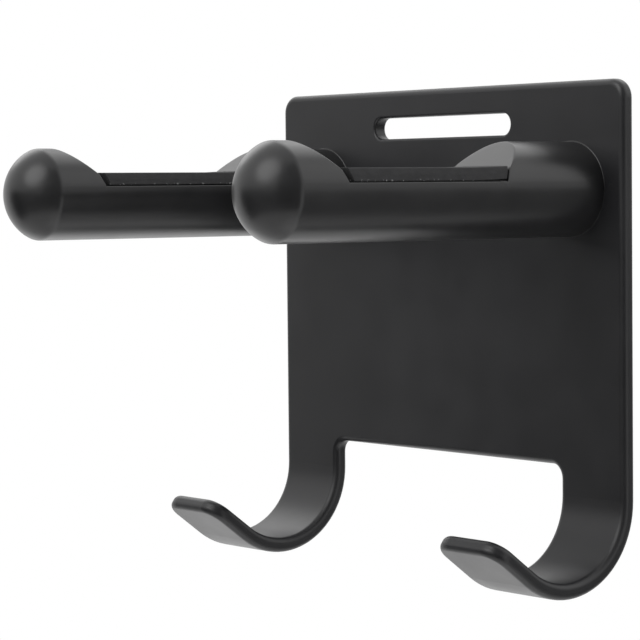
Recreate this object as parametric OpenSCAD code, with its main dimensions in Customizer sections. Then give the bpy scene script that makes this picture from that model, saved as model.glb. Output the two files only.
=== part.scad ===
// Wall holder for a hair dryer.
// A bent sheet plate carries two round pegs, and its two legs curl forward as hooks.
// The dryer's barrel lies across the pegs in padded saddles, and its handle hangs between them.
// The origin is on the wall face, midway between the pegs and level with their axes.
// X runs to the right, Y into the wall and Z up.

/* [Back plate] */
// Width of the plate
plate_w = 100; // [96:1:140]
// Height of the top edge above the peg axes
top_h = 20; // [18:0.5:30]
// Depth of the lower edge between the legs, below the peg axes
web_drop = 51.3; // [30:0.1:52]
// Thickness of the sheet
sheet = 3; // [2.8:0.1:4]
// Radius on the edges of the sheet
edge_r = 1.2; // [0.6:0.1:1.3]
// Radius of the two upper corners of the plate
corner_r = 3.5; // [3:0.5:4.5]
// Radius of the two corners of the cut-out between the legs
cut_r = 2.6; // [2:0.1:4]

/* [Slot] */
// Length of the slot, end to end
slot_len = 40; // [20:1:60]
// Height of the slot
slot_h = 4.2; // [4:0.1:5]
// Distance from the top edge to the middle of the slot
slot_drop = 7.5; // [6:0.5:8]
// Radius on the edges of the slot
slot_edge_r = 0.5; // [0.2:0.1:0.8]

/* [Hooks] */
// Width of each leg and its hook
leg_w = 16.8; // [13:0.1:20]
// Depth of the centre of the bend, below the peg axes
bend_drop = 56.8; // [56.8:0.1:90]
// Inner radius of the bend
bend_r = 13.5; // [8:0.5:20]
// Rise of the lip for each unit that it reaches forward
lip_slope = 0.75; // [0.2:0.05:1.5]
// Length of the straight lip
lip_len = 11; // [8:0.5:20]
// Radius of the corners of the lip
lip_r = 4; // [3:0.5:4.5]

/* [Pegs] */
// Diameter of each peg
peg_d = 17.5; // [17:0.5:21]
// Length of each peg, from the plate to the tip of its nose
peg_len = 75.5; // [74:0.5:100]
// Distance between the peg axes
peg_gap = 73; // [60:1:74]
// Height of the domed nose
nose_len = 5.7; // [4:0.1:6]
// Width of the narrow band that breaks the edge of the nose
nose_edge = 0.4; // [0.2:0.1:0.6]
// Chamfer at the root of each peg
root_chamfer = 0.4; // [0.2:0.1:0.8]

/* [Saddles] */
// Length of the recess that holds the pad, between its upper edges
saddle_len = 38; // [30:0.5:38.5]
// Distance from the plate to the middle of the recess
saddle_mid = 41.6; // [40:0.1:42]
// Height of the recess floor above the peg's axis
saddle_floor = 1.5; // [1:0.1:2]
// Height of the recess's upper edges above the peg's axis
saddle_edge = 3.7; // [3.4:0.1:5]
// Tilt of the recess's end walls away from upright
wall_tilt = 25; // [0:1:30]
// Tilt of the shoulders away from upright
shoulder_tilt = 49; // [30:1:50]

/* [Pads] */
// Thickness of each pad
pad_t = 2.4; // [1.6:0.1:3]
// Thickness of the adhesive film under each pad
film_t = 0.2; // [0.1:0.05:0.3]
// Gap between each end of a pad and the foot of the wall
pad_end_gap = 0.2; // [0.1:0.1:1]

/* [Screws] */
// Diameter of each screw's shank
screw_d = 5; // [4:0.5:5]
// Diameter of the countersunk head
head_d = 10; // [8.5:0.5:10]
// Length of each screw, with its head
screw_len = 16; // [12:1:18]
// Width across the flats of the hexagon socket
socket_af = 3; // [2:0.5:3]
// Depth of the hexagon socket
socket_depth = 1.9; // [1:0.1:2.2]

/* [Hidden] */

$fn = 96;
left = -1;
right = 1;
// Cutters run this far past the solid
over = 1;
// Play between a screw and its hole
play = 0.05;
// Depth of the screw heads below the wall face
head_sink = 0.1;

flat_h = top_h + bend_drop;
cut_h = bend_drop - web_drop;
leg_x = (plate_w - leg_w) / 2;
cut_x = plate_w / 2 - leg_w;
bend_angle = 90 + atan(lip_slope);

slot_r = slot_h / 2;
slot_x = slot_len / 2 - slot_r;
slot_y = flat_h - slot_drop;

peg_r = peg_d / 2;
peg_x = peg_gap / 2;
saddle_top = peg_r + over;
shoulder_run = (saddle_top - saddle_edge) * tan(shoulder_tilt);
wall_run = (saddle_edge - saddle_floor) * tan(wall_tilt);

// The nose is a cap of a larger sphere, so the peg's side turns sharply onto it
nose_r = (peg_r * peg_r + nose_len * nose_len) / 2 / nose_len;
nose_turn = 90 - asin(peg_r / nose_r);

pad_len = saddle_len - 2 * wall_run - 2 * pad_end_gap;
pad_floor = saddle_floor + film_t;

screw_r = screw_d / 2;
head_r = head_d / 2;
head_cone = head_r - screw_r;
hole_depth = screw_len - sheet + 2;
socket_r = socket_af / 2 / cos(30);

// Cross-section of a rim, as thick as the sheet: it laps onto the flat by r,
// and stands out by r with both corners rounded
module rim_section(r) {
    translate([-r, 0]) square([r, sheet]);
    translate([0, r]) square([r, sheet - 2 * r]);
    for (side = [0, 1])
        translate([0, sheet / 2]) mirror([0, side]) translate([0, sheet / 2 - r])
            intersection() {
                circle(r);
                square(r);
            }
}

// Straight rim along X, rounded towards +Y
module rim(length, r) {
    rotate([90, 0, 90]) linear_extrude(length) rim_section(r);
}

// Rim round a corner of the sheet, from +X to +Y
module outer_corner(radius, r) {
    rotate_extrude(angle = 90) translate([radius - r, 0]) rim_section(r);
}

// Rim round a hollow in the sheet, starting at +X
module inner_corner(radius, r, angle) {
    rotate_extrude(angle = angle) translate([radius + r, 0]) mirror([1, 0]) rim_section(r);
}

// Rectangle that stands on X, with its two upper corners rounded
module arch(width, height, radius) {
    inner_w = width - 2 * radius;
    translate([-width / 2, 0]) square([width, height - radius]);
    translate([-inner_w / 2, 0]) square([inner_w, height]);
    for (side = [-1, 1])
        translate([side * inner_w / 2, height - radius]) circle(radius);
}

// Flat end of the sheet, with rounded edges on all sides but the lower one
module sheet_end(width, height, radius) {
    inner_w = width - 2 * radius;
    translate([-inner_w / 2, height - edge_r, 0]) rim(inner_w, edge_r);
    for (side = [0, 1]) mirror([side, 0, 0]) {
        translate([inner_w / 2, height - radius, 0]) outer_corner(radius, edge_r);
        translate([width / 2 - edge_r, height - radius, 0]) rotate([0, 0, -90])
            rim(height - radius, edge_r);
    }
    linear_extrude(sheet) arch(width - 2 * edge_r, height - edge_r, radius - edge_r);
}

// Rounded edges of the cut-out between the legs
module cut_out_rims() {
    inner_x = cut_x - cut_r;
    translate([inner_x, cut_h + edge_r, 0]) rotate([0, 0, 180]) rim(2 * inner_x, edge_r);
    for (side = [0, 1]) mirror([side, 0, 0]) {
        translate([inner_x, cut_h - cut_r, 0]) inner_corner(cut_r, edge_r, 90);
        translate([cut_x + edge_r, 0, 0]) rotate([0, 0, 90]) rim(cut_h - cut_r, edge_r);
    }
}

// Outline of the slot, grown by the given margin
module slot_outline(margin) {
    square([2 * slot_x, slot_h + 2 * margin], center = true);
    for (side = [-1, 1])
        translate([side * slot_x, 0]) circle(slot_r + margin);
}

// Rounded edges of the slot
module slot_rims() {
    for (turn = [0, 180]) rotate([0, 0, turn]) {
        translate([slot_x, slot_r + slot_edge_r, 0]) rotate([0, 0, 180])
            rim(2 * slot_x, slot_edge_r);
        translate([slot_x, 0, 0]) rotate([0, 0, -90]) inner_corner(slot_r, slot_edge_r, 180);
    }
}

// The flat part of the plate, standing on the line where the bends start
module flat_sheet() {
    difference() {
        sheet_end(plate_w, flat_h, corner_r);
        translate([0, 0, -over]) linear_extrude(sheet + 2 * over) {
            translate([0, -over])
                arch(2 * (cut_x + edge_r), cut_h + edge_r + over, cut_r + edge_r);
            translate([0, slot_y]) slot_outline(slot_edge_r);
        }
    }
    cut_out_rims();
    translate([0, slot_y, 0]) slot_rims();
}

// Cross-section of a leg, with its thickness along X
module leg_section() {
    half = leg_w / 2 - edge_r;
    translate([0, -half]) square([sheet, 2 * half]);
    for (side = [0, 1])
        mirror([0, side]) translate([0, half]) mirror([1, -1]) rim_section(edge_r);
}

// Bend and lip of one leg, turning about the centre of the bend
// The bend is cut off square where the lip starts
module hook() {
    outer_r = bend_r + sheet;
    rotate([-90, 0, 0]) rotate([0, -90, 0]) {
        difference() {
            rotate_extrude(angle = bend_angle + over) translate([bend_r, 0]) leg_section();
            rotate([0, 0, bend_angle]) translate([0, 0, -leg_w])
                cube([outer_r + over, bend_r, 2 * leg_w]);
        }
        rotate([0, 0, bend_angle]) translate([outer_r, 0, 0]) rotate([0, -90, 0])
            sheet_end(leg_w, lip_len, lip_r);
    }
}

// Countersunk shape of a screw, from its head down, grown by the given margin
module screw_shape(length, margin) {
    translate([0, 0, head_sink]) {
        cylinder(head_cone, head_r + margin, screw_r + margin);
        cylinder(length - head_sink, r = screw_r + margin);
    }
}

// Places a screw or its hole behind a peg, pointing away from the wall
module behind_peg(side) {
    translate([side * peg_x, 0, 0]) rotate([90, 0, 0]) children();
}

module back_plate() {
    color([0.13, 0.13, 0.13]) difference() {
        union() {
            translate([0, 0, -bend_drop]) rotate([90, 0, 0]) flat_sheet();
            for (side = [left, right])
                translate([side * leg_x, -sheet - bend_r, -bend_drop]) hook();
        }
        for (side = [left, right]) behind_peg(side) {
            screw_shape(sheet + over, play);
            translate([0, 0, -over]) cylinder(over + head_sink, r = head_r + play);
        }
    }
}

// Outline of the saddle along the peg, with its walls and shoulders leaning apart
module saddle_outline() {
    near = saddle_mid - saddle_len / 2;
    far = saddle_mid + saddle_len / 2;
    polygon([
        [near + wall_run, saddle_floor],
        [far - wall_run, saddle_floor],
        [far, saddle_edge],
        [far + shoulder_run, saddle_top],
        [near - shoulder_run, saddle_top],
        [near, saddle_edge]
    ]);
}

// Turned peg before its saddle is cut, standing on its root
module peg_blank() {
    side_end = peg_len - nose_len - nose_edge / 2;
    cone_h = peg_len + over - side_end;
    cylinder(root_chamfer, peg_r - root_chamfer, peg_r);
    translate([0, 0, root_chamfer]) cylinder(side_end - root_chamfer, r = peg_r);
    intersection() {
        translate([0, 0, side_end]) cylinder(cone_h, peg_r, peg_r - cone_h * tan(nose_turn / 2));
        translate([0, 0, peg_len - nose_r]) sphere(nose_r);
    }
}

// Places a shape drawn along the peg, with its height above the axis, across the whole peg
module across_peg(side, width) {
    translate([side * peg_x, -sheet, 0]) rotate([90, 0, -90])
        linear_extrude(width, center = true) children();
}

module peg(side) {
    color([0.16, 0.16, 0.16]) difference() {
        translate([side * peg_x, -sheet, 0]) rotate([90, 0, 0]) peg_blank();
        across_peg(side, 2 * saddle_top) saddle_outline();
        translate([side * peg_x, over - sheet, 0]) rotate([90, 0, 0])
            cylinder(hole_depth + over, r = screw_r + play);
    }
}

// Strip in the saddle between two heights, trimmed to the round of the peg
module saddle_strip(side, length, low, high, radius) {
    intersection() {
        across_peg(side, peg_d) translate([saddle_mid - length / 2, low])
            square([length, high - low]);
        translate([side * peg_x, -sheet, 0]) rotate([90, 0, 0]) cylinder(peg_len, r = radius);
    }
}

module pad(side) {
    color([0.2, 0.2, 0.2]) saddle_strip(side, pad_len, pad_floor, pad_floor + pad_t, peg_r);
}

module pad_film(side) {
    color([0.08, 0.08, 0.08])
        saddle_strip(side, pad_len - film_t, saddle_floor, pad_floor, peg_r - film_t);
}

module peg_screw(side) {
    color([0.45, 0.45, 0.47]) behind_peg(side) difference() {
        screw_shape(screw_len, 0);
        cylinder(head_sink + socket_depth, r = socket_r, $fn = 6);
    }
}

back_plate();
peg(left);  // left_peg
peg(right);  // right_peg
pad(left);  // left_pad
pad(right);  // right_pad
pad_film(left);  // left_pad_film
pad_film(right);  // right_pad_film
peg_screw(left);  // left_peg_screw
peg_screw(right);  // right_peg_screw
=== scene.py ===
import math

import bmesh
import bpy
from mathutils import Matrix, Vector, noise


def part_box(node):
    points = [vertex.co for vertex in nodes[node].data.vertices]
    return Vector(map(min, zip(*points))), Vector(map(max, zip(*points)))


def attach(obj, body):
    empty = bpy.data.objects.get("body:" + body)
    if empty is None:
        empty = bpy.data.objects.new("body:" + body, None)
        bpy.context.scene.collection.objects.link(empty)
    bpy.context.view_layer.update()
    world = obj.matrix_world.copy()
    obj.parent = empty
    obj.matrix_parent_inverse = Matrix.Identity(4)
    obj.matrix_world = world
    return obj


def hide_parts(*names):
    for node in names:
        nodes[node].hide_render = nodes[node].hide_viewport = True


# Hair dryer holder: the plate keeps its CAD mesh, and every other piece is made anew in its CAD place
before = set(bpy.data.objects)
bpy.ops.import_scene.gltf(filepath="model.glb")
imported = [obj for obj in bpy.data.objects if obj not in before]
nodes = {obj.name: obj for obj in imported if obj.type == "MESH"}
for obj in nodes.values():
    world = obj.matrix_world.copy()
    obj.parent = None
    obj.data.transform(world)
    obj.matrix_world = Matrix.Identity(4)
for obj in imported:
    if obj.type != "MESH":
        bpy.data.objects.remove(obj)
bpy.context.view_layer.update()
scene = bpy.context.scene
mm = 0.001
print("frame loaded, nodes:", len(nodes))


# sRGB hex to linear colour, with full alpha
def hexLinear(code):
    parts = [int(code[i:i + 2], 16) / 255 for i in (1, 3, 5)]
    return [c / 12.92 if c <= 0.04045 else ((c + 0.055) / 1.055) ** 2.4 for c in parts] + [1.0]


# texture scale at which one feature of the pattern is this many millimetres wide
def scaleFor(sizeMm):
    return 1 / (sizeMm * mm)


# adds a node, sets its sockets or properties, links its inputs and places its colour stops
def addNode(tree, kind, settings=None, links=None, stops=()):
    node = tree.nodes.new(kind)
    for key, value in (settings or {}).items():
        if isinstance(key, int) or key in node.inputs:
            node.inputs[key].default_value = value
        else:
            setattr(node, key, value)
    for key, source in (links or {}).items():
        tree.links.new(source, node.inputs[key])
    for k, (position, colour) in enumerate(stops):
        node.color_ramp.elements[k].position = position
        node.color_ramp.elements[k].color = hexLinear(colour)
    return node


def newMaterial(name):
    material = bpy.data.materials.new(name)
    material.use_nodes = True
    material.node_tree.nodes.clear()
    return material, material.node_tree


def setMaterial(obj, material):
    obj.data.materials.clear()
    obj.data.materials.append(material)


# Camera, at the photo's angle: the place and turns come from the outline of the object in the photo
photoView = {
    "place": (378.5, -334.33, 0.03),  # mm
    "azimuth": 51.51,  # degrees to the right of straight in front
    "pitch": -2.862,
    "roll": -0.565,
    "focalPixels": 2566.4,
    "imagePixels": 640,
    "sensor": 36.0,  # mm
    "farthest": 50.0,  # m
}


def makeCamera(view):
    azimuth, pitch, roll = (math.radians(view[key]) for key in ("azimuth", "pitch", "roll"))
    level = Vector((-math.sin(azimuth), math.cos(azimuth), 0))
    ahead = level * math.cos(pitch) + Vector((0, 0, math.sin(pitch)))
    right = Matrix.Rotation(-roll, 3, ahead) @ Vector((math.cos(azimuth), math.sin(azimuth), 0))
    up = right.cross(ahead)
    data = bpy.data.cameras.new("photoCamera")
    data.sensor_width = view["sensor"]
    data.lens = view["sensor"] * view["focalPixels"] / view["imagePixels"]
    data.clip_end = view["farthest"]
    camera = bpy.data.objects.new("photoCamera", data)
    scene.collection.objects.link(camera)
    pose = Matrix((right, up, -ahead)).transposed().to_4x4()
    pose.translation = Vector(view["place"]) * mm
    camera.matrix_world = pose
    scene.camera = camera


makeCamera(photoView)
print("camera placed, lens", round(scene.camera.data.lens, 2), "mm")


# Mesh helpers; the shapes of the pieces are written in mm
weld = 0.002 * mm  # points closer than this become one
hairline = 1e-6  # mm, a height below this is none
sharpAngle = 50  # degrees between faces, from where an edge shows as a crease
legShare = 0.45  # the most of a leg that the rounding of a corner takes


def between(start, end, steps):
    return [start.lerp(end, k / steps) for k in range(1, steps)]


# points round a corner, from one leg to the other, as a short curve
def roundCorner(before, corner, after, reach, steps):
    toBefore = before - corner
    toAfter = after - corner
    reach = min(reach, legShare * toBefore.length, legShare * toAfter.length)
    start = corner + toBefore.normalized() * reach
    end = corner + toAfter.normalized() * reach
    shares = [k / steps for k in range(steps + 1)]
    return [start.lerp(corner, t).lerp(corner.lerp(end, t), t) for t in shares]


# open path through the corners, each one rounded, with a fixed number of points
def roundedPath(corners, reach, arcSteps, runSteps):
    path = [corners[0]]
    for before, corner, after, run in zip(corners, corners[1:], corners[2:], runSteps):
        arc = roundCorner(before, corner, after, reach, arcSteps)
        path += between(path[-1], arc[0], run) + arc
    return path + between(path[-1], corners[-1], runSteps[-1]) + [corners[-1]]


# closed skin over columns of points that stand side by side in a ring
def skinColumns(name, columns):
    mesh = bpy.data.meshes.new(name)
    shape = bmesh.new()
    rows = [[shape.verts.new(point) for point in column] for column in columns]
    for near, far in zip(rows, rows[1:] + rows[:1]):
        for corner in zip(near, near[1:], far[1:], far):
            shape.faces.new(corner)
    bmesh.ops.remove_doubles(shape, verts=shape.verts, dist=weld)
    bmesh.ops.dissolve_degenerate(shape, edges=shape.edges, dist=weld)
    bmesh.ops.recalc_face_normals(shape, faces=shape.faces)
    shape.to_mesh(mesh)
    shape.free()
    mesh.shade_smooth()
    mesh.set_sharp_from_angle(angle=math.radians(sharpAngle))
    obj = bpy.data.objects.new(name, mesh)
    scene.collection.objects.link(obj)
    obj.modifiers.new("weightedNormals", "WEIGHTED_NORMAL").keep_sharp = True
    return obj


# Pegs: turned, with a low domed nose, and milled across the top for the pad
pegShape = {
    "ringSteps": 72,
    "noseHeight": 5.7,
    "noseRound": 0.6,  # how far the edge round the dome is broken
    "noseSlant": 0.1,  # share of the dome, past the broken edge, that sets the slant there
    "noseSteps": (5, 16),  # round the broken edge, then over the dome
    "rootBead": (0.06, 0.24),  # coat gathered in the corner at the plate, least below and most on top
    "beadSteps": 5,
    "recessMiddle": 41.6,  # from the plate
    "recessLength": 38.0,  # between its upper edges
    "recessRise": 3.7,  # upper edges above the axis
    "wallTilt": 25.0,  # degrees from upright
    "shoulderTilt": 49.0,
    "cutRound": 0.28,  # milled edges
    "cutSteps": 3,
    "runSteps": (8, 6, 3, 20, 3, 6, 8),  # root, shoulder, wall, floor, wall, shoulder, nose
    "floorRound": 0.2,  # long edges of the recess floor
    "floorSteps": 4,
    "boreRadius": 2.55,
    "boreDepth": 15.0,
    "boreChamfer": 0.4,
    "columnSpread": 2.5,  # how far the points of plain columns keep from one another
}


def pegColumns(cut, radius, length, floorRise):
    wallSlope = math.tan(math.radians(cut["wallTilt"]))
    shoulderSlope = math.tan(math.radians(cut["shoulderTilt"]))
    halfLength = cut["recessLength"] / 2
    halfFloor = halfLength - (cut["recessRise"] - floorRise) * wallSlope
    bendRadius = (radius ** 2 + cut["noseHeight"] ** 2) / 2 / cut["noseHeight"]
    bendAngle = math.asin(radius / bendRadius)

    def domePoint(share):
        angle = bendAngle * share
        return Vector((length - bendRadius * (1 - math.cos(angle)), bendRadius * math.sin(angle)))

    # along and out from the axis: the bore and the root, then the nose
    def rootPath(angle):
        bore, deep, chamfer = cut["boreRadius"], cut["boreDepth"], cut["boreChamfer"]
        least, most = cut["rootBead"]
        bead = least + (most - least) * math.sqrt(max(0.0, math.cos(angle)))
        path = [Vector((deep + bore / 2, 0)), Vector((deep, bore))]
        path += [Vector((chamfer, bore)), Vector((0, bore + chamfer))]
        for k in range(cut["beadSteps"] + 1):
            turn = math.pi / 2 * k / cut["beadSteps"]
            path.append(Vector((bead * (1 - math.cos(turn)), radius + bead * (1 - math.sin(turn)))))
        return path

    edge = Vector((length - cut["noseHeight"], radius))
    edgeSteps, domeSteps = cut["noseSteps"]
    turned = 1 - cut["noseRound"] / (bendRadius * bendAngle)
    slant = domePoint(turned - cut["noseSlant"])
    nosePath = roundCorner(Vector((0, radius)), edge, slant, cut["noseRound"], edgeSteps)
    nosePath += [domePoint(turned * (1 - k / domeSteps)) for k in range(1, domeSteps + 1)]

    # the saddle as one column meets it, from the top of the round down to the recess floor
    def saddlePath(top, low):
        foot = Vector((halfFloor, low))
        if top > cut["recessRise"]:
            lip = Vector((halfLength, cut["recessRise"]))
            outer = Vector((halfLength + (top - cut["recessRise"]) * shoulderSlope, top))
        elif top > floorRise:
            outer = Vector((halfLength - (cut["recessRise"] - top) * wallSlope, top))
            lip = outer.lerp(foot, 0.5)
        else:
            slack = min(cut["columnSpread"], floorRise - top)
            lip = Vector((halfFloor + slack, top))
            outer = Vector((halfFloor + 2 * slack, top))
        half = [outer, lip, foot]
        middle = cut["recessMiddle"]
        corners = [Vector((cut["rootBead"][1], top))]
        corners += [Vector((middle - c.x, c.y)) for c in half]
        corners += [Vector((middle + c.x, c.y)) for c in reversed(half)]
        corners += [Vector((edge.x - cut["noseRound"], top))]
        return roundedPath(corners, cut["cutRound"], cut["cutSteps"], cut["runSteps"])[1:-1]

    # ring of columns: angle from the top, and where the column meets the recess floor
    inner = floorRise - cut["floorRound"]
    out = math.sqrt((radius - cut["floorRound"]) ** 2 - inner ** 2)
    firstAngle = math.asin(out / radius)
    lastAngle = math.atan2(out, inner)
    lipAngle = math.acos(cut["recessRise"] / radius)
    ring = []

    def addRun(start, end):
        steps = max(1, round((end - start) / (2 * math.pi) * cut["ringSteps"]))
        for k in range(steps):
            angle = start + (end - start) * k / steps
            low = floorRise if angle < firstAngle else radius * math.cos(angle)
            ring.append((angle, radius * math.sin(angle), low))

    addRun(0, lipAngle)
    addRun(lipAngle, firstAngle)
    for k in range(cut["floorSteps"]):
        turn = lastAngle * k / cut["floorSteps"]
        angle = firstAngle + (lastAngle - firstAngle) * k / cut["floorSteps"]
        x = out + cut["floorRound"] * math.sin(turn)
        ring.append((angle, x, inner + cut["floorRound"] * math.cos(turn)))
    addRun(lastAngle, math.pi)
    ring.append((math.pi, 0, -radius))
    ring += [(-angle, -x, low) for angle, x, low in reversed(ring[1:-1])]

    columns = []
    for angle, lowX, low in ring:
        sine, cosine = math.sin(angle), math.cos(angle)
        top = radius * cosine
        column = [(p.x, p.y * sine, p.y * cosine) for p in rootPath(angle)]
        for p in saddlePath(top, low):
            share = (top - p.y) / (top - low) if top - low > hairline else 0
            column.append((p.x, radius * sine + (lowX - radius * sine) * share, p.y))
        column += [(p.x, p.y * sine, p.y * cosine) for p in nosePath]
        columns.append(column)
    return columns


def makePeg(side):
    low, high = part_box(side + "_peg")
    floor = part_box(side + "_pad_film")[0].z
    radius = (high.x - low.x) / 2 / mm
    axisX = (low.x + high.x) / 2
    placed = []
    for column in pegColumns(pegShape, radius, (high.y - low.y) / mm, floor / mm):
        placed.append([(axisX + x * mm, high.y - along * mm, z * mm) for along, x, z in column])
    peg = skinColumns(side + "PegTurned", placed)
    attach(peg, "root")
    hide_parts(side + "_peg")
    return peg


pegs = [makePeg(side) for side in ("left", "right")]
print("pegs made, faces each:", len(pegs[0].data.polygons))


# Pads: soft strips cut with a blade, so their long edges wander a little and the wall end has come up
padShape = {
    "topRound": 0.2,
    "roundSteps": 4,
    "sectionSteps": (8, 3, 3, 12),  # bottom, lower and upper side, top
    "endRound": 0.12,
    "endSteps": 4,
    "lengthSteps": 90,
    "crown": 0.1,  # rise of the middle over the edges
    "waver": 0.09,  # how far the cut sides wander
    "waverSize": 2.6,
    "waverApart": 3.1,  # place of each side in the noise, so that the two wander differently
    "lift": 0.25,  # at the end next to the plate
    "endLength": 9.0,  # how far in from its ends the strip is lifted or slanted
    "lean": 22.0,  # degrees, the end next to the plate, pressed to the wall of the recess
    "noseGap": 0.95,  # strip cut a little short at the nose end
    "noseUndercut": 20.0,  # degrees, slant of that cut, which leaves a dark notch below
    "fill": 0.9,
}


def padSection(cut, low, high, radius):
    rises = [low, (low + high) / 2, high]
    sides = [Vector((math.sqrt(radius ** 2 - rise ** 2), rise)) for rise in rises]
    corners = [Vector((0, low))] + sides + [Vector((0, high))]
    half = roundedPath(corners, cut["topRound"], cut["roundSteps"], cut["sectionSteps"])
    return half + [Vector((-p.x, p.y)) for p in reversed(half[1:-1])]


# distance along the strip, and how far the section is drawn in there, with none for the closing point
def padStations(cut, length):
    end = [(0.0, None)]
    for k in range(cut["endSteps"] + 1):
        turn = math.pi / 2 * k / cut["endSteps"]
        end.append((cut["endRound"] * (1 - math.cos(turn)), cut["endRound"] * (1 - math.sin(turn))))
    inner = length - 2 * cut["endRound"]
    steps = cut["lengthSteps"]
    run = [(cut["endRound"] + inner * k / steps, 0.0) for k in range(1, steps)]
    return end + run + [(length - along, drawn) for along, drawn in reversed(end)]


# the crown fades out to the sides, and the wander, a steep power, keeps to them
def padPoint(cut, point, along, drawn, bottom, top, halfWidth):
    middle, halfHeight = (bottom + top) / 2, (top - bottom) / 2
    lift = cut["lift"] * max(0.0, 1 - along / cut["endLength"]) ** 2
    if drawn is None:
        return 0.0, middle + lift
    x = point.x * (1 - drawn / halfWidth)
    z = middle + (point.y - middle) * (1 - drawn / halfHeight)
    upper = max(0.0, (z - middle) / halfHeight)
    z += cut["crown"] * upper * (1 - (x / halfWidth) ** 2)
    spot = Vector((along / cut["waverSize"], z, math.copysign(cut["waverApart"], x)))
    x += math.copysign(cut["waver"] * noise.noise(spot), x) * min(1.0, abs(x) / halfWidth) ** 4
    return x, z + lift


def makePad(side):
    low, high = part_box(side + "_pad")
    pegLow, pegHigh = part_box(side + "_peg")
    axisX = (low.x + high.x) / 2
    radius = (pegHigh.x - pegLow.x) / 2 / mm
    bottom, top = low.z / mm, high.z / mm
    section = padSection(padShape, bottom, top - padShape["crown"], radius - padShape["waver"])
    halfWidth = max(p.x for p in section)
    length = (high.y - low.y) / mm - padShape["noseGap"]
    lean = math.tan(math.radians(padShape["lean"]))
    undercut = math.tan(math.radians(padShape["noseUndercut"]))
    columns = []
    for point in section:
        column = []
        for along, drawn in padStations(padShape, length):
            x, z = padPoint(padShape, point, along, drawn, bottom, top, halfWidth)
            nearPlate = max(0.0, 1 - along / padShape["endLength"])
            nearNose = max(0.0, 1 - (length - along) / padShape["endLength"])
            slanted = (z - bottom) * (lean * nearPlate - undercut * nearNose)
            column.append((axisX + x * mm, high.y + (slanted - along) * mm, z * mm))
        columns.append(column)
    pad = skinColumns(side + "PadStrip", columns)
    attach(pad, "root")
    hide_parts(side + "_pad")
    return pad


pads = [makePad(side) for side in ("left", "right")]
print("pads made, faces each:", len(pads[0].data.polygons))


# Adhesive films: cut smaller than the pads, so a dark slit is left under their edges
filmShape = {
    "inset": 0.8,
    "wander": 0.2,
    "wanderSize": 3.0,
    "steps": (24, 60),  # along the ends and the sides
}


def makeFilm(side):
    low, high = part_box(side + "_pad_film")
    middle = (low + high) / 2
    reach = (high - low) / 2 - Vector((1, 1, 0)) * filmShape["inset"] * mm
    heartLow = (middle.x, middle.y, low.z)
    heartHigh = (middle.x, middle.y, high.z)
    turns = [(-1, -1), (1, -1), (1, 1), (-1, 1)]
    columns = []
    for start, end, steps in zip(turns, turns[1:] + turns[:1], filmShape["steps"] * 2):
        for k in range(steps):
            spot = Vector(start).lerp(Vector(end), k / steps)
            edge = Vector((spot.x * reach.x, spot.y * reach.y, 0))
            wander = filmShape["wander"] * mm * noise.noise(edge / mm / filmShape["wanderSize"])
            point = middle + edge + edge.normalized() * wander
            columns.append([heartLow, (point.x, point.y, low.z), (point.x, point.y, high.z), heartHigh])
    film = skinColumns(side + "PadFilm", columns)
    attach(film, "root")
    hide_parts(side + "_pad_film")
    return film


films = [makeFilm(side) for side in ("left", "right")]
print("films made, faces each:", len(films[0].data.polygons))


# Peg screws: countersunk, driven from the wall side, with a hexagon socket
screwShape = {
    "ringSteps": 48,
    "shankRadius": 2.5,
    "headRound": 0.25,
    "headSteps": 4,
    "tipTaper": 0.7,
    "socketFlats": 3.0,
    "socketDepth": 1.9,
    "socketPoint": 0.5,  # drill point below the socket
    "socketMouth": 0.2,
}


def screwPath(cut, angle, headRadius, length):
    fromFlat = angle % (math.pi / 3) - math.pi / 6
    socket = cut["socketFlats"] / 2 / math.cos(fromFlat)
    mouth = cut["socketFlats"] / math.sqrt(3) + cut["socketMouth"]
    shank = cut["shankRadius"]
    path = [Vector((cut["socketDepth"] + cut["socketPoint"], 0)), Vector((cut["socketDepth"], socket))]
    path += [Vector((cut["socketMouth"], socket)), Vector((0, mouth))]
    neck = Vector((headRadius - shank, shank))
    path += roundCorner(path[-1], Vector((0, headRadius)), neck, cut["headRound"], cut["headSteps"])
    path += [neck, Vector((length - cut["tipTaper"], shank))]
    return path + [Vector((length, shank - cut["tipTaper"])), Vector((length, 0))]


def makeScrew(side):
    low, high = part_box(side + "_peg_screw")
    axisX = (low.x + high.x) / 2
    headRadius = (high.x - low.x) / 2 / mm
    columns = []
    for k in range(screwShape["ringSteps"]):
        angle = 2 * math.pi * k / screwShape["ringSteps"]
        path = screwPath(screwShape, angle, headRadius, (high.y - low.y) / mm)
        across, up = math.sin(angle) * mm, math.cos(angle) * mm
        columns.append([(axisX + p.y * across, high.y - p.x * mm, p.y * up) for p in path])
    screw = skinColumns(side + "PegScrew", columns)
    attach(screw, "root")
    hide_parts(side + "_peg_screw")
    return screw


screws = [makeScrew(side) for side in ("left", "right")]
print("screws made, faces each:", len(screws[0].data.polygons))


# Middle part of a noise, over which a roughness or a tint goes from its low end to its high end
roughSpan = (0.3, 0.7)
tintSpan = (0.35, 0.65)


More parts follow.
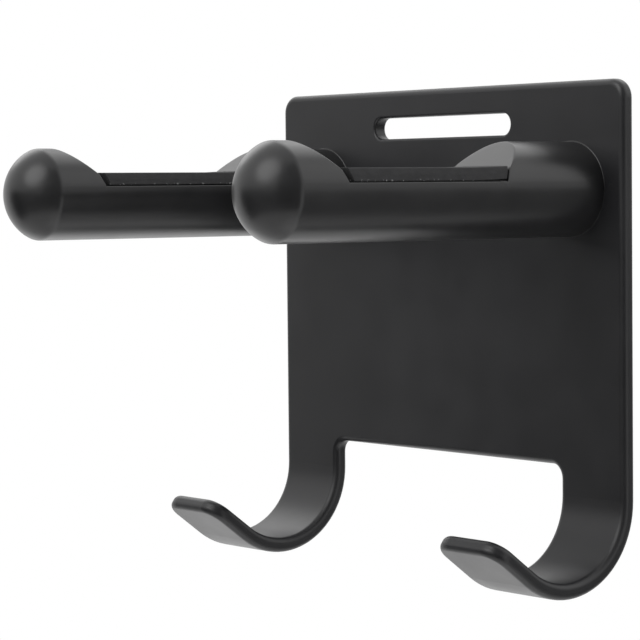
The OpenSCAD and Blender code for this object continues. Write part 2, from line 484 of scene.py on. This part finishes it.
# Satin coat: baked on, it levels into a faint orange peel over a fine grain, so the black metal has
# a soft sheen that breaks up slightly; on the pegs the turned metal beneath shows as faint rings
plateCoat = {
    "dark": "#19191b",
    "pale": "#1c1c1e",
    "roughness": (0.37, 0.42),
    "ior": 1.5,
    "patch": 9.0,  # mm
    "patchDetail": 3.0,
    "relief": {  # mm across, detail, then the bump's strength and its depth in mm
        "peel": (1.4, 1.0, 0.25, 0.02),
        "grain": (0.35, 2.0, 0.35, 0.008),  # drawn coarser than the real grit so that it shows
    },
}
pegCoat = {
    "dark": "#1a1a1b",
    "pale": "#1d1d1e",
    "roughness": (0.29, 0.34),
    "ior": 1.5,
    "patch": 6.0,
    "patchDetail": 3.0,
    "relief": {
        "peel": (1.8, 1.0, 0.25, 0.02),
        "grain": (0.4, 2.0, 0.35, 0.008),
        "rings": (0.3, 1.0, 0.3, 0.006),  # from ring to ring along the peg
    },
}


def makeCoat(name, coat):
    material, tree = newMaterial(name)
    place = addNode(tree, "ShaderNodeTexCoord").outputs["Object"]
    patch = addNode(tree, "ShaderNodeTexNoise",
                    {"Scale": scaleFor(coat["patch"]), "Detail": coat["patchDetail"]},
                    {"Vector": place}).outputs["Fac"]
    tint = addNode(tree, "ShaderNodeValToRGB", {}, {"Fac": patch},
                   zip(tintSpan, (coat["dark"], coat["pale"])))
    rough = addNode(tree, "ShaderNodeMapRange",
                    {"From Min": roughSpan[0], "From Max": roughSpan[1],
                     "To Min": coat["roughness"][0], "To Max": coat["roughness"][1]},
                    {"Value": patch})
    links = {}
    for layer, (across, detail, strength, depth) in coat["relief"].items():
        spread, scale = place, scaleFor(across)
        if layer == "rings":  # these change along the peg only
            along = addNode(tree, "ShaderNodeMapping", {"Scale": (0.0, scale, 0.0)}, {"Vector": place})
            spread, scale = along.outputs["Vector"], 1.0
        height = addNode(tree, "ShaderNodeTexNoise", {"Scale": scale, "Detail": detail}, {"Vector": spread})
        links["Height"] = height.outputs["Fac"]
        bump = addNode(tree, "ShaderNodeBump", {"Strength": strength, "Distance": depth * mm}, links)
        links["Normal"] = bump.outputs["Normal"]
    surface = addNode(tree, "ShaderNodeBsdfPrincipled", {"IOR": coat["ior"]},
                      {"Base Color": tint.outputs["Color"], "Roughness": rough.outputs["Result"],
                       "Normal": links["Normal"]})
    addNode(tree, "ShaderNodeOutputMaterial", {}, {"Surface": surface.outputs["BSDF"]})
    return material


# Foam rubber: dull and close-celled, so the strip stays an even dark grey in any light,
# with a few pale crumbs held by the glue along its lower cut edge
padFoam = {
    "dark": "#2c2c2d",
    "pale": "#323233",
    "roughness": 0.9,
    "ior": 1.5,
    "mottle": 1.6,  # mm
    "mottleDetail": 4.0,
    "cell": 0.4,  # mm, drawn coarser than real cells so that it shows
    "cellBump": (0.4, 0.04),  # strength, and depth in mm
    "crumb": "#a4a4a4",
    "crumbSize": 0.6,  # mm
    "crumbDetail": 2.0,
    "crumbSpan": (0.59, 0.67),  # part of the noise over which a crumb begins and is whole
    "crumbHeight": 0.4,  # mm up from the pad's foot
}


def makeFoam(name, foam):
    material, tree = newMaterial(name)
    place = addNode(tree, "ShaderNodeTexCoord").outputs["Object"]
    mottle = addNode(tree, "ShaderNodeTexNoise",
                     {"Scale": scaleFor(foam["mottle"]), "Detail": foam["mottleDetail"]},
                     {"Vector": place})
    body = addNode(tree, "ShaderNodeValToRGB", {}, {"Fac": mottle.outputs["Fac"]},
                   zip(tintSpan, (foam["dark"], foam["pale"])))
    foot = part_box("left_pad")[0].z
    height = addNode(tree, "ShaderNodeSeparateXYZ", {}, {"Vector": place}).outputs["Z"]
    nearFoot = addNode(tree, "ShaderNodeMapRange",
                       {"From Min": foot, "From Max": foot + foam["crumbHeight"] * mm,
                        "To Min": 1.0, "To Max": 0.0},
                       {"Value": height})
    speck = addNode(tree, "ShaderNodeTexNoise",
                    {"Scale": scaleFor(foam["crumbSize"]), "Detail": foam["crumbDetail"]},
                    {"Vector": place})
    spot = addNode(tree, "ShaderNodeMapRange",
                   {"From Min": foam["crumbSpan"][0], "From Max": foam["crumbSpan"][1]},
                   {"Value": speck.outputs["Fac"]})
    share = addNode(tree, "ShaderNodeMath", {"operation": "MULTIPLY"},
                    {0: nearFoot.outputs["Result"], 1: spot.outputs["Result"]})
    # the mix node's sockets 0, 6 and 7 are the share and the two colours, and output 2 is the colour
    colour = addNode(tree, "ShaderNodeMix", {"data_type": "RGBA", 7: hexLinear(foam["crumb"])},
                     {0: share.outputs["Value"], 6: body.outputs["Color"]})
    cells = addNode(tree, "ShaderNodeTexVoronoi", {"Scale": scaleFor(foam["cell"])}, {"Vector": place})
    strength, depth = foam["cellBump"]
    bump = addNode(tree, "ShaderNodeBump", {"Strength": strength, "Distance": depth * mm},
                   {"Height": cells.outputs["Distance"]})
    surface = addNode(tree, "ShaderNodeBsdfPrincipled", {"IOR": foam["ior"], "Roughness": foam["roughness"]},
                      {"Base Color": colour.outputs[2], "Normal": bump.outputs["Normal"]})
    addNode(tree, "ShaderNodeOutputMaterial", {}, {"Surface": surface.outputs["BSDF"]})
    return material


# Acrylic adhesive: a black tacky film that shows as a shiny, slightly rippled line under the pad
glueFilm = {
    "dark": "#0b0b0b",
    "pale": "#121212",
    "roughness": 0.3,
    "ior": 1.47,
    "ripple": 1.1,  # mm
    "rippleDetail": 2.0,
    "rippleBump": (0.5, 0.05),  # strength, and depth in mm
}


def makeGlue(name, glue):
    material, tree = newMaterial(name)
    place = addNode(tree, "ShaderNodeTexCoord").outputs["Object"]
    ripple = addNode(tree, "ShaderNodeTexNoise",
                     {"Scale": scaleFor(glue["ripple"]), "Detail": glue["rippleDetail"]},
                     {"Vector": place}).outputs["Fac"]
    tint = addNode(tree, "ShaderNodeValToRGB", {}, {"Fac": ripple},
                   zip(tintSpan, (glue["dark"], glue["pale"])))
    strength, depth = glue["rippleBump"]
    bump = addNode(tree, "ShaderNodeBump", {"Strength": strength, "Distance": depth * mm}, {"Height": ripple})
    surface = addNode(tree, "ShaderNodeBsdfPrincipled", {"IOR": glue["ior"], "Roughness": glue["roughness"]},
                      {"Base Color": tint.outputs["Color"], "Normal": bump.outputs["Normal"]})
    addNode(tree, "ShaderNodeOutputMaterial", {}, {"Surface": surface.outputs["BSDF"]})
    return material


# Plated steel: a grey metal with fine draw lines, which gives the screw heads a broken, cool shine
screwSteel = {
    "dark": "#6a6b6d",
    "pale": "#77787a",
    "roughness": (0.32, 0.44),
    "line": 0.2,  # mm across the lines, drawn coarser than real ones so that they show
    "lineLength": 4.0,  # mm
    "lineDetail": 3.0,
    "lineBump": (0.2, 0.01),  # strength, and depth in mm
}


def makeSteel(name, steel):
    material, tree = newMaterial(name)
    place = addNode(tree, "ShaderNodeTexCoord").outputs["Object"]
    stretch = [scaleFor(steel[key]) for key in ("lineLength", "lineLength", "line")]
    drawn = addNode(tree, "ShaderNodeMapping", {"Scale": stretch}, {"Vector": place})
    lines = addNode(tree, "ShaderNodeTexNoise", {"Scale": 1.0, "Detail": steel["lineDetail"]},
                    {"Vector": drawn.outputs["Vector"]}).outputs["Fac"]
    tint = addNode(tree, "ShaderNodeValToRGB", {}, {"Fac": lines},
                   zip(tintSpan, (steel["dark"], steel["pale"])))
    rough = addNode(tree, "ShaderNodeMapRange",
                    {"From Min": roughSpan[0], "From Max": roughSpan[1],
                     "To Min": steel["roughness"][0], "To Max": steel["roughness"][1]},
                    {"Value": lines})
    strength, depth = steel["lineBump"]
    bump = addNode(tree, "ShaderNodeBump", {"Strength": strength, "Distance": depth * mm}, {"Height": lines})
    surface = addNode(tree, "ShaderNodeBsdfPrincipled", {"Metallic": 1.0},
                      {"Base Color": tint.outputs["Color"], "Roughness": rough.outputs["Result"],
                       "Normal": bump.outputs["Normal"]})
    addNode(tree, "ShaderNodeOutputMaterial", {}, {"Surface": surface.outputs["BSDF"]})
    return material


setMaterial(nodes["back_plate"], makeCoat("satinBlackPowderCoat", plateCoat))
pegPaint = makeCoat("satinBlackCoatedAluminium", pegCoat)
padRubber = makeFoam("blackFoamRubber", padFoam)
padGlue = makeGlue("blackAcrylicAdhesive", glueFilm)
platedSteel = makeSteel("platedSteel", screwSteel)
for peg, pad, film, screw in zip(pegs, pads, films, screws):
    setMaterial(peg, pegPaint)
    setMaterial(pad, padRubber)
    setMaterial(film, padGlue)
    setMaterial(screw, platedSteel)
print("materials set")


# Stage: a white room with a pale floor, grey cards that keep the reflections deep, and soft lamps; in m
stageSetup = {
    "middle": (0.0, -0.03, -0.02),
    "roomColour": "#ffffff",
    "floorColour": "#fcfcfc",
    "floorDrop": 0.9,
    "floorRadius": 0.65,
    "floorFade": 0.05,  # the floor thins out into the room from here to its edge
    "floorSteps": 96,
    "cardDistance": 1.1,
    "cardSteps": 24,
    "cards": {  # degrees: from and to, turning clockwise from straight behind, then low and high
        "leftCard": (204, 238, -36, 6, "#303030"),
        "frontCard": (150, 204, -36, 6, "#8c8c8c"),
        "cameraCard": (95, 150, -36, 8, "#646464"),
        "upperCard": (85, 150, 8, 60, "#8c8c8c"),
        "backCard": (30, 62, -38, 4, "#868686"),
        "sideCard": (0, 30, -38, 4, "#909090"),
        "lowCard": (15, 70, -60, -38, "#d0d0d0"),
    },
    "lamps": {  # degrees round and up, distance, size, then radiance next to the room's 1
        "overheadBank": (-30, 52, 1.2, 1.0, 0.9),
        "frontSoftbox": (180, 41, 1.2, 0.95, 2.4),
        "rightFill": (42, 32, 1.2, 0.8, 0.45),
        "leftSoftbox": (-78, 32, 1.2, 0.7, 1.25),
        "lowLeftFill": (-67, -41, 1.2, 0.9, 0.55),
        "underFill": (80, -74, 0.85, 0.8, 0.45),
    },
}


def towards(around, up):
    around, up = math.radians(around), math.radians(up)
    return Vector((math.cos(up) * math.sin(around), math.cos(up) * math.cos(around), math.sin(up)))


def makeRoom(setup):
    world = bpy.data.worlds.new("whiteRoom")
    scene.world = world
    world.use_nodes = True
    tree = world.node_tree
    tree.nodes.clear()
    wall = addNode(tree, "ShaderNodeBackground", {"Color": hexLinear(setup["roomColour"])})
    addNode(tree, "ShaderNodeOutputWorld", {}, {"Surface": wall.outputs["Background"]})


# Matte paint, an even dull colour, which can thin out to nothing with distance from the middle
def mattePaint(name, colour, fade=None):
    paint, tree = newMaterial(name)
    surface = addNode(tree, "ShaderNodeBsdfDiffuse", {"Color": hexLinear(colour)}).outputs["BSDF"]
    if fade:
        place = addNode(tree, "ShaderNodeTexCoord").outputs["Object"]
        away = addNode(tree, "ShaderNodeVectorMath", {"operation": "LENGTH"}, {0: place})
        share = addNode(tree, "ShaderNodeMapRange",
                        {"interpolation_type": "SMOOTHSTEP", "From Min": fade[0], "From Max": fade[1]},
                        {"Value": away.outputs["Value"]})
        clear = addNode(tree, "ShaderNodeBsdfTransparent").outputs["BSDF"]
        mixed = addNode(tree, "ShaderNodeMixShader", {}, {0: share.outputs["Result"], 1: surface, 2: clear})
        surface = mixed.outputs["Shader"]
    addNode(tree, "ShaderNodeOutputMaterial", {}, {"Surface": surface})
    return paint


def makeFloor(setup):
    mesh = bpy.data.meshes.new("floor")
    shape = bmesh.new()
    bmesh.ops.create_circle(shape, cap_ends=True, radius=setup["floorRadius"], segments=setup["floorSteps"])
    shape.to_mesh(mesh)
    shape.free()
    floor = bpy.data.objects.new("floor", mesh)
    floor.location.z = -setup["floorDrop"]
    scene.collection.objects.link(floor)
    fade = (setup["floorFade"], setup["floorRadius"])
    setMaterial(floor, mattePaint("paleFloorPaint", setup["floorColour"], fade))


def makeCard(name, start, end, low, high, colour, setup):
    steps = setup["cardSteps"]
    rise = [math.tan(math.radians(angle)) * setup["cardDistance"] for angle in (low, high)]
    corners = []
    for k in range(steps + 1):
        out = towards(start + (end - start) * k / steps, 0) * setup["cardDistance"]
        corners += [Vector(setup["middle"]) + out + Vector((0, 0, z)) for z in rise]
    mesh = bpy.data.meshes.new(name)
    mesh.from_pydata(corners, [], [(2 * k, 2 * k + 1, 2 * k + 3, 2 * k + 2) for k in range(steps)])
    card = bpy.data.objects.new(name, mesh)
    scene.collection.objects.link(card)
    card.visible_camera = False
    setMaterial(card, mattePaint(name + "Paint", colour))


# the watts of a round lamp are its radiance times its area times pi
def makeLamp(name, around, up, distance, size, radiance, setup):
    data = bpy.data.lights.new(name, "AREA")
    data.shape = "DISK"
    data.size = size
    data.energy = radiance * math.pi * math.pi * size ** 2 / 4
    lamp = bpy.data.objects.new(name, data)
    scene.collection.objects.link(lamp)
    lamp.visible_camera = False
    lamp.location = Vector(setup["middle"]) + towards(around, up) * distance
    lamp.rotation_euler = towards(around, up).to_track_quat("Z", "Y").to_euler()


makeRoom(stageSetup)
makeFloor(stageSetup)
for cardName, spread in stageSetup["cards"].items():
    makeCard(cardName, *spread, stageSetup)
for lampName, aim in stageSetup["lamps"].items():
    makeLamp(lampName, *aim, stageSetup)
scene.view_settings.view_transform = "Standard"
print("stage set, lamps:", len(stageSetup["lamps"]))
